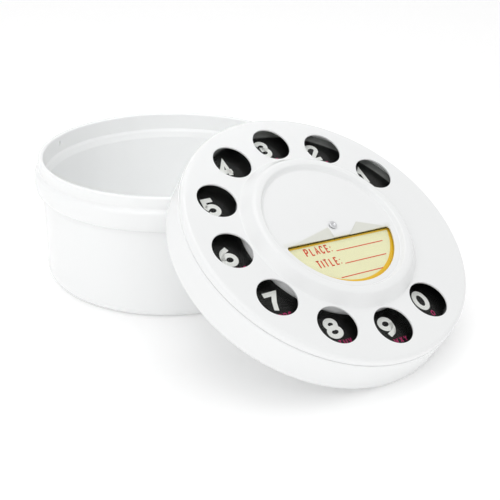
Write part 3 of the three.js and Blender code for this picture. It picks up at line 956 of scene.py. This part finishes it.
class DIALBOX_OT_finger_wheel(Operator):
    """Builds the finger wheel with its ten holes, hub ring, dish and half-moon window"""

    bl_idname = "dial_box.finger_wheel"
    bl_label = "Finger Wheel"

    def execute(self, context):
        s = settings().wheel
        skin = Skin()
        count = settings().studio.segments
        inner_edge, outer_edge = s.hub_foot + 0.42 * MM, s.radius - 5.2 * MM
        self.rim(skin, s, count, outer_edge)
        self.hub(skin, s, count, inner_edge)
        self.plate(skin, s, count, inner_edge, outer_edge)
        skin.crease(self.dish(skin, s, count))
        wheel = skin.obj("dial_finger_wheel", "wheel_plastic")
        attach(wheel, "wheel")
        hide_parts("finger_wheel")
        return {"FINISHED"}

    def rim(self, skin, s, count, edge):
        """The wheel's outermost ring, with its downturned rim."""
        inner = s.radius - s.rim_width
        corners = [
            (edge, 0.0), (s.radius, 0.0, s.rim_round), (s.radius, -s.rim_depth, 0.25 * MM),
            (inner, -s.rim_depth, 0.25 * MM), (inner, -s.plate, 0.4 * MM), (edge, -s.plate),
        ]
        lathe(skin, rounded(corners, 10), count, closed=False)

    def hub(self, skin, s, count, edge):
        """The raised hub ring, from the plate up over its crest and down to the dish, above and below."""
        top = [(edge, 0.0), (s.hub_foot, 0.0, 0.9 * MM),
               (s.hub_crest + 0.9 * MM, s.hub_height - 0.3 * MM, 2.4 * MM),
               (s.hub_crest - 0.6 * MM, s.hub_height, 2.0 * MM),
               (s.dish_wall + 0.1 * MM, s.hub_height - 0.1 * MM, 1.0 * MM),
               (s.dish_radius + 0.5 * MM, s.dish_height, 0.9 * MM), (s.dish_radius, s.dish_height)]
        lathe(skin, rounded(top, 8), count, closed=False)
        wall = s.hub_wall
        under = [(edge, -s.plate), (s.hub_foot - wall, -s.plate, 0.8 * MM),
                 (s.hub_crest + 1.3 * MM - wall / 2, s.hub_height - wall, 1.0 * MM),
                 (s.dish_wall, s.hub_height - wall, 0.6 * MM),
                 (s.dish_radius + 0.3 * MM, s.dish_height - s.dish_floor, 0.4 * MM),
                 (s.dish_radius, s.dish_height - s.dish_floor)]
        lathe(skin, rounded(under, 5), count, closed=False)

    def plate(self, skin, s, count, inner, outer):
        """The flat plate in twelve sectors, of which the ten from 30 to 300 degrees have a finger hole."""
        step = 2 * math.pi / count
        sector = count // 12
        radials = 18
        spans = [inner + (outer - inner) * k / radials for k in range(radials + 1)]
        for place in range(12):
            centre = sector * place
            turns = [(centre + k) * step for k in range(-sector // 2, sector // 2 + 1)]
            if not 1 <= place <= 10:
                for z in (0.0, -s.plate):
                    skin.strips([[(*polar(r, a), z) for a in turns] for r in spans], closed=False)
                continue
            border = [polar(inner, a) for a in turns] + [polar(r, turns[-1]) for r in spans[1:-1]]
            border += [polar(outer, a) for a in reversed(turns)] + [polar(r, turns[0]) for r in spans[-2:0:-1]]
            hole = Vector(polar(s.hole_pitch, centre * step))
            ways = [(Vector(p) - hole).normalized() for p in border]

            def ring(out, z):
                return [(*(hole + way * (s.hole_radius + out)), z) for way in ways]

            edge = s.hole_edge
            ease = arc_points((edge, -edge), edge, 90, 180, 4)
            top = [ring(edge + 0.12 * MM, 0.0)] + [ring(out, z) for out, z in ease]
            low = [ring(out, -s.plate - z) for out, z in reversed(ease)] + [ring(edge + 0.12 * MM, -s.plate)]
            skin.strips([[(*p, 0.0) for p in border]] + top + low + [[(*p, -s.plate) for p in border]])

    def dish(self, skin, s, count):
        """The dish floor: flat, with two shallow bevels above the window, a bore and the window's edge."""
        top, under = s.dish_height, s.dish_height - s.dish_floor
        ease = 0.25 * MM
        step = 0.35 * MM
        facets = bevels(s)

        def sink(p):
            """How far the bevels lower the floor at a point."""
            for corner, peak, end in facets:
                a, b, c = corner, peak, end
                area = (b - a).cross(c - a)
                share = (b - p).cross(c - p) / area
                left = (c - p).cross(a - p) / area
                right = (a - p).cross(b - p) / area
                if min(share, left, right) > -1e-5:
                    inward = max(0.0, right) * abs(area) / (b - a).length
                    return s.facet_depth * share * min(1.0, inward / step)
            return 0.0

        edge_y = -s.window_edge + ease
        marks, lines = [], []
        for corner, peak, end in facets:
            along = (peak - corner).normalized()
            side = (end - corner) - along * (end - corner).dot(along)
            side = side.normalized() * step
            slant = (end - peak).normalized()
            foot = corner + side
            head = peak + slant * (step / abs(slant.dot(side.normalized())))
            for low, high in ((corner, peak), (foot, head), (end, head)):
                at = low + (high - low) * ((edge_y - low.y) / (high.y - low.y))
                marks.append(at.x)
                lines.append((at, high))
            lines.append((head, peak))
        straight = sorted(marks)
        row = half_moon(s.window_radius + ease, s.window_edge - ease, s.window_corner + ease, straight)

        def circle(radius, steps):
            return [point[:2] for point in ring_points(radius, 0, steps)]

        def fill(loops, extra, height):
            """Faces inside the first loop and outside the others, with the extra lines kept as edges."""
            points, edges = [], []
            for loop in loops:
                start = len(points)
                points += [Vector(p) for p in loop]
                edges += [(start + i, start + (i + 1) % len(loop)) for i in range(len(loop))]
            for a, b in extra:
                edges.append((len(points), len(points) + 1))
                points += [Vector(a), Vector(b)]
            verts, _, faces, *_ = delaunay_2d_cdt(points, edges, [], 0, 1e-7)
            for face in faces:
                middle = sum((verts[i] for i in face), Vector((0.0, 0.0))) / len(face)
                if inside(middle, loops[0]) and not any(inside(middle, loop) for loop in loops[1:]):
                    skin.face([(*verts[i], height(verts[i])) for i in face])

        rim, bore, low_bore = circle(s.dish_radius, count), circle(s.bore + ease, 48), circle(s.bore, 48)
        fill([rim, row, bore], lines, lambda p: top - sink(p))
        low_row = half_moon(s.window_radius, s.window_edge, s.window_corner, straight)
        fill([rim, low_row, low_bore], [], lambda p: under)
        for edge_row, low in ((row, low_row), (bore, low_bore)):
            sunk = [sink(Vector(p)) for p in edge_row]
            levels = []
            for out, down in arc_points((ease, -ease), ease, 90, 180, 4):
                share = out / ease
                levels.append([(a[0] * share + b[0] * (1 - share), a[1] * share + b[1] * (1 - share),
                                top + down - d) for a, b, d in zip(edge_row, low, sunk)])
            levels.append([(*p, under) for p in low])
            skin.strips(levels)
        return [((*a, top - sink(a)), (*b, top - sink(b))) for a, b in lines]


class DIALBOX_OT_number_disc(Operator):
    """Builds the printed number disc, its figures and small letters, and the clear film over it"""

    bl_idname = "dial_box.number_disc"
    bl_label = "Number Disc"

    LETTERS = {2: "ABC", 3: "DEF", 4: "GHI", 5: "JKL", 6: "MNO", 7: "PRS", 8: "TUV", 9: "WXY", 0: "O"}

    def execute(self, context):
        p, w = settings().prints, settings().wheel
        disc = self.ring("printed_disc", p, p.disc_top, p.disc, "dial_print")
        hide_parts("number_disc")
        film = self.ring("disc_film", p, p.film_top, p.film, "disc_film")
        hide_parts("number_film")
        self.figures(p, w)
        self.letters(p, w)
        return {"FINISHED"}

    def ring(self, name, p, depth, thickness, finish):
        """A thin flat ring whose top lies at a depth below the wheel's flat."""
        ease = 0.05 * MM
        top, bottom = -depth, -depth - thickness
        corners = [(p.disc_inside, top, ease), (p.disc_radius, top, ease),
                   (p.disc_radius, bottom, ease), (p.disc_inside, bottom, ease)]
        skin = Skin()
        lathe(skin, rounded(corners, 2), settings().studio.segments)
        made = skin.obj(name, finish)
        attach(made, "lid")
        return made

    def spot(self, p, w, figure):
        """The middle of a figure, with the print turned and shifted a little against the holes."""
        turn = math.radians(30 * (figure or 10))
        hole = Vector(polar(w.hole_pitch, turn))
        return Matrix.Rotation(p.print_turn, 2) @ hole * PRINT_SHRINK + PRINT_SHIFT

    def figures(self, p, w):
        """The printed figures. Where a figure has two strokes, one lies a hair above the other."""
        skin = Skin()
        top, overlap = -p.disc_top + p.ink, 0.004 * MM
        wide, high = p.digit_width - p.digit_stroke, p.digit_height - p.digit_stroke
        for figure in range(10):
            spot = self.spot(p, w, figure)
            for i, line in enumerate(figure_strokes(figure, wide, high)):
                turned = [tuple(spot + Matrix.Rotation(p.print_turn, 2) @ Vector(q)) for q in line]
                stroke(skin, turned, p.digit_stroke, -p.disc_top, top + i * overlap)
        ink = skin.obj("printed_figures", "figure_ink")
        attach(ink, "lid")

    def letters(self, p, w):
        """The small letters under the figures."""
        skin = Skin()
        letter, top = p.letter_height, -p.disc_top + p.ink
        for figure, text in self.LETTERS.items():
            spot = self.spot(p, w, figure)
            width = len(text) * letter * LETTER_SHARE + (len(text) - 1) * letter * LETTER_SPACE
            x, y = spot.x - width / 2 + LETTER_RIGHT, spot.y - LETTER_DROP
            write(skin, text, x, y, letter, LETTER_SHARE, letter * LETTER_LINE, -p.disc_top, top)
        ink = skin.obj("printed_letters", "letter_ink")
        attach(ink, "lid")


class DIALBOX_OT_name_card(Operator):
    """Builds the name card with its border, prompts and writing lines and its film, and finishes its backing"""

    bl_idname = "dial_box.name_card"
    bl_label = "Name Card"

    def execute(self, context):
        p, w = settings().prints, settings().wheel
        row = half_moon(p.card_radius, p.card_edge, w.window_corner)
        card = slab("paper_name_card", row, p.card_top - CARD_THICKNESS, p.card_top, "card_print")
        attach(card, "wheel")
        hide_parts("name_card")
        film = slab("card_film", row, p.window_top - p.film, p.window_top, "card_film")
        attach(film, "wheel")
        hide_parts("card_window")
        skin = Skin()
        top = p.card_top + p.ink
        for text, x, y in PROMPTS:
            write(skin, text, x * MM, y * MM, PROMPT_HEIGHT, PROMPT_SHARE, PROMPT_LINE, p.card_top, top)
        for y, x0, x1 in WRITING_LINES:
            stroke(skin, [(x0 * MM, y * MM), (x1 * MM, y * MM)], p.rule, p.card_top, top)
        ink = skin.obj("card_words_and_lines", "card_ink")
        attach(ink, "wheel")
        refinish("card_backing", "backing_plastic")
        return {"FINISHED"}


class DIALBOX_OT_pivot(Operator):
    """Builds the pivot pin and finishes the bush, the wave washer and the nut"""

    bl_idname = "dial_box.pivot"
    bl_label = "Pivot"

    def execute(self, context):
        low, high = -11.9 * MM, settings().wheel.dish_height + 1.0 * MM
        shaft, cap, under_cap = 1.2 * MM, 1.75 * MM, high - 0.7 * MM
        corners = [(0.0, low), (shaft, low, 0.3 * MM), (shaft, under_cap), (cap, under_cap, 0.08 * MM),
                   (cap, high, 0.3 * MM), (0.95 * MM, high, 0.15 * MM), (0.5 * MM, high - 0.38 * MM, 0.2 * MM),
                   (0.0, high - 0.4 * MM)]
        skin = Skin()
        lathe(skin, rounded(corners, 6), 72, closed=False)
        pin = skin.obj("dimpled_pivot_pin", "turned_steel")
        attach(pin, "wheel")
        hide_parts("pivot_pin")
        refinish("wave_washer", "turned_steel")
        refinish("push_nut", "turned_steel")
        refinish("spacer_bush", "white_nylon")
        return {"FINISHED"}


class DIALBOX_OT_studio(Operator):
    """Sets the camera at the photograph's angle, the pale floor and the soft lights"""

    bl_idname = "dial_box.studio"
    bl_label = "Studio"

    def execute(self, context):
        self.camera()
        self.floor()
        self.lights()
        self.world()
        return {"FINISHED"}

    def camera(self):
        """The camera, turned by the fitted pitch, yaw and roll."""
        right = Vector((math.cos(CAMERA_YAW), math.sin(CAMERA_YAW), 0))
        level = Vector((-math.sin(CAMERA_YAW), math.cos(CAMERA_YAW), 0))
        ahead = level * math.cos(CAMERA_PITCH) - Vector((0, 0, math.sin(CAMERA_PITCH)))
        down = ahead.cross(right)
        side = right * math.cos(CAMERA_ROLL) - down * math.sin(CAMERA_ROLL)
        up = -(right * math.sin(CAMERA_ROLL) + down * math.cos(CAMERA_ROLL))
        data = bpy.data.cameras.new("camera")
        data.lens = settings().studio.lens
        data.sensor_width = SENSOR_WIDTH
        data.sensor_fit = "HORIZONTAL"
        camera = linked("camera", data)
        camera.matrix_world = Matrix((side, up, -ahead)).transposed().to_4x4()
        camera.matrix_world.translation = CAMERA_EYE
        bpy.context.scene.camera = camera

    def floor(self):
        """A wide floor that curves up far behind the box."""
        skin = Skin()
        width, front, back, curve, height, below = 4.0, -3.0, 2.0, 1.0, 4.0, 0.02 * MM
        line = [(front, 0.0), (back, 0.0)]
        line += [(back + curve * math.sin(a), curve - curve * math.cos(a))
                 for a in (math.pi / 2 * k / 12 for k in range(1, 13))]
        line.append((back + curve, height))
        rows = [[(x, y, z - below) for x in (-width, width)] for y, z in line]
        skin.strips(rows, closed=False)
        floor = skin.obj("studio_floor", "studio_floor", on_lid=False)

    def lights(self):
        """Square soft lights, each by name, place, aim, width, strength and spread in degrees."""
        studio = settings().studio
        middle, inner_back = Vector((0.03, -0.03, 0.03)), Vector((-0.01, 0.05, 0.045))
        for name, place, aim, width, power, spread in (
            ("key_light", (-0.5, -1.1, 1.1), middle, 1.2, studio.key, 180),
            ("overhead_light", (0.0, 0.05, 1.4), middle, 1.0, studio.overhead, 180),
            ("inside_light", (-0.1, -0.26, 0.4), inner_back, 0.12, studio.inside, 24),
        ):
            data = bpy.data.lights.new(name, "AREA")
            data.size = width
            data.energy = power
            data.spread = math.radians(spread)
            light = linked(name, data)
            light.location = place
            light.rotation_euler = (aim - Vector(place)).to_track_quat("-Z", "Y").to_euler()

    def world(self):
        shader = Shader(bpy.data.worlds.new("studio"))
        glow = shader.add("ShaderNodeBackground", None,
                          {"Color": (1.0, 1.0, 1.0, 1.0), "Strength": settings().studio.ambient})
        bpy.context.scene.world = shader.finish(glow, "ShaderNodeOutputWorld")
        bpy.context.scene.view_settings.view_transform = "Standard"


class DIALBOX_PT_panel(Panel):
    """The dial box's pieces, in the order in which they are built"""

    bl_idname = "DIALBOX_PT_panel"
    bl_label = "Dial Box"
    bl_space_type = "VIEW_3D"
    bl_region_type = "UI"
    bl_category = "Dial Box"

    def draw(self, context):
        for operator in OPERATORS:
            self.layout.operator(operator.bl_idname)
        for group in ("tub", "lid", "wheel", "prints", "colours", "studio"):
            box = self.layout.box()
            part = getattr(context.scene.dial_box, group)
            for name in part.bl_rna.properties.keys():
                if name not in ("rna_type", "name"):
                    box.prop(part, name)


OPERATORS = (
    DIALBOX_OT_studio,
    DIALBOX_OT_tub,
    DIALBOX_OT_lid_shell,
    DIALBOX_OT_finger_wheel,
    DIALBOX_OT_number_disc,
    DIALBOX_OT_name_card,
    DIALBOX_OT_pivot,
)
GROUPS = (TubSizes, LidSizes, WheelSizes, PrintSizes, BoxColours, StudioSettings, DialBoxSettings)


def register():
    for known in (*GROUPS, *OPERATORS, DIALBOX_PT_panel):
        bpy.utils.register_class(known)
    bpy.types.Scene.dial_box = PointerProperty(type=DialBoxSettings)


def unregister():
    del bpy.types.Scene.dial_box
    for known in reversed((*GROUPS, *OPERATORS, DIALBOX_PT_panel)):
        bpy.utils.unregister_class(known)


def main():
    register()
    for operator in OPERATORS:
        group, name = operator.bl_idname.split(".")
        getattr(getattr(bpy.ops, group), name)()


if __name__ == "__main__":
    main()
